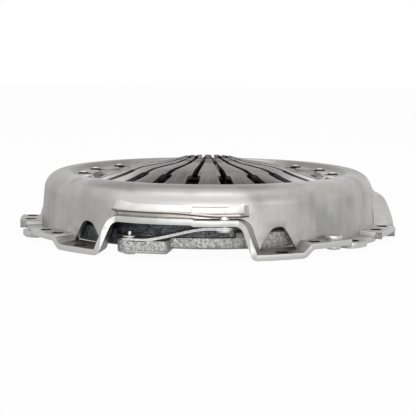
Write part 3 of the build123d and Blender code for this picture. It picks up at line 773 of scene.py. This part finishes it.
def build_lip(bridge):
    """Flared lip of the wall over one bridge. Each section has a flare, which leaves the wall at the
    crease by the power LIP_POWER of the way down, the cut edge, a face that stands back from it down to
    the bridge and the way back into the wall. The edge sinks over the strap's seat, and the flare dies
    away at both ends."""
    turn = np.linspace(LIP_FROM, LIP_TO, 97)
    ends = ease(turn, LIP_FROM, LIP_FROM + LIP_FADE) * ease(turn, LIP_TO, LIP_TO - LIP_FADE)
    edge_z = LIP_EDGE_Z - LIP_SINK * ease(turn, LIP_SINK_FROM, LIP_SINK_TO)
    crease_z = CREASE_Z + CREASE_RISE * (1 - ends)
    section = []
    for share in np.linspace(0, 1, 9):
        z = crease_z + (edge_z - crease_z) * share
        wall = WALL_BASE_R - WALL_LEAN * z
        flare = (LIP_R - wall) * share ** LIP_POWER * (LIP_END_SHARE + (1 - LIP_END_SHARE) * ends)
        section.append((wall + LIP_PROUD + flare - LIP_TUCK * (1 - share), z))
    edge_r = section[-1][0]
    wall_r = WALL_BASE_R - WALL_LEAN * edge_z + LIP_BACK_OFF
    back_r = wall_r + np.maximum(edge_r - LIP_BACK_IN - wall_r, 0) * ends
    root_r = edge_r - LIP_ROOT_IN
    section += [
        (edge_r - LIP_CUT_IN, edge_z - LIP_CUT_DOWN),
        (back_r, edge_z - LIP_BACK_DOWN),
        (back_r + LIP_BACK_OFF, LIP_FOOT_Z),
        (root_r, LIP_FOOT_Z + LIP_ROOT_RISE),
        (root_r, crease_z),
    ]
    build_bar(f"cover_lip_{bridge + 1}", bridge, np.radians(turn), section, "lip")


def build_sill(bridge, side):
    """Inner edge of a foot, turned up a little under its arched window."""
    turn = np.radians(side * SILL_TURN + np.linspace(-SILL_HALF, SILL_HALF, 25))
    section = [
        (SILL_OUT_R, SHEET),
        (SILL_OUT_R, SILL_UNDER_Z),
        (SILL_IN_R, SILL_UNDER_Z),
        (SILL_IN_R, SILL_TOP_Z),
    ]
    build_bar(f"cover_sill_{2 * bridge + (3 + side) // 2}", bridge, turn, section, "cover")


finish_solids()
build_cover()
build_spring()
for bridge in range(BRIDGES):
    build_lip(bridge)
    build_sill(bridge, -1)
    build_sill(bridge, 1)
    for layer in range(STRAP_LEAVES):
        build_leaf(bridge, layer)


# ---- stage, light and camera ------------------------------------------------------------------------
def seen_rays(tree):
    """Masks of the rays from the camera and of those in reflections or through glass."""
    path = Value(tree, None).node("ShaderNodeLightPath")
    camera, glossy, through = path.sisters("Is Camera Ray", "Is Glossy Ray", "Is Transmission Ray")
    return camera, glossy.maths("MAXIMUM", through)


def build_floor():
    """Pale floor: part of it glows for the camera and for reflections, which whitens it and leaves a
    trace of the shadow."""
    z = cad_box[0][2] - FLOOR_GAP
    corners = [(x * FLOOR_HALF, y * FLOOR_HALF, z) for x, y in ((-1, -1), (1, -1), (1, 1), (-1, 1))]
    mesh = bpy.data.meshes.new("floor")
    mesh.from_pydata(corners, [], [(0, 1, 2, 3)])
    floor = bpy.data.objects.new("floor", mesh)
    bpy.context.scene.collection.objects.link(floor)
    material = bpy.data.materials.new("pale_floor")
    material.use_nodes = True
    tree = material.node_tree
    tree.nodes.clear()
    camera, glossy = seen_rays(tree)
    lit = camera.node("ShaderNodeBsdfDiffuse", {"Color": (0.9, 0.9, 0.9, 1)})
    glow = camera.node("ShaderNodeEmission", {"Color": (1, 1, 1, 1)})
    share = camera * CAMERA_GLOW + (1 - camera) * glossy * GLOSSY_GLOW
    both = camera.node("ShaderNodeMixShader", (share, lit, glow))
    camera.node("ShaderNodeOutputMaterial", {"Surface": both}, output=None)
    mesh.materials.append(material)


def build_world():
    """White surroundings where they are seen, softer where they only light."""
    world = bpy.data.worlds.new("studio")
    bpy.context.scene.world = world
    world.use_nodes = True
    tree = world.node_tree
    tree.nodes.clear()
    camera, glossy = seen_rays(tree)
    white = camera.node("ShaderNodeBackground", {"Color": (1, 1, 1, 1)})
    soft = camera.node("ShaderNodeBackground", {"Color": (AMBIENT, AMBIENT, AMBIENT, 1)})
    both = camera.node("ShaderNodeMixShader", (camera.maths("MAXIMUM", glossy), soft, white))
    camera.node("ShaderNodeOutputWorld", {"Surface": both}, output=None)


def build_lamp(name, place, aim, size, power):
    """Soft rectangular lamp, with its power in watts."""
    light = bpy.data.lights.new(name, "AREA")
    light.shape = "RECTANGLE"
    light.size, light.size_y = size
    light.energy = power
    lamp = bpy.data.objects.new(name, light)
    lamp.location = place
    lamp.rotation_euler = (Vector(aim) - Vector(place)).to_track_quat("-Z", "Y").to_euler()
    bpy.context.scene.collection.objects.link(lamp)


def build_camera():
    """Camera a little above the flange plane and a little to +X of the first bridge."""
    data = bpy.data.cameras.new("camera")
    data.sensor_width = SENSOR_W
    data.lens = SENSOR_W * CAMERA_DISTANCE / PICTURE_W
    camera = bpy.data.objects.new("camera", data)
    turn, lift = radians(CAMERA_TURN), radians(CAMERA_LIFT)
    back = Vector((sin(turn) * cos(lift), -cos(turn) * cos(lift), sin(lift)))
    camera.location = Vector((0, 0, AIM_Z)) + back * CAMERA_DISTANCE
    level = back.to_track_quat("Z", "Y").to_euler().to_matrix()
    camera.rotation_euler = (level @ Euler((0, 0, radians(CAMERA_ROLL))).to_matrix()).to_euler()
    bpy.context.scene.collection.objects.link(camera)
    bpy.context.scene.camera = camera


build_floor()
build_world()
build_lamp("top", (0.0, -0.1, 1.2), (0, 0, 0), (1.0, 1.0), 4)
build_lamp("front", (0.15, -1.4, 0.12), (0, 0, 0.03), (1.3, 0.16), 3.5)
build_lamp("side", (1.1, -0.9, 0.4), (0, 0, 0), (0.5, 0.6), 1)
build_camera()
bpy.context.scene.view_settings.view_transform = "Standard"
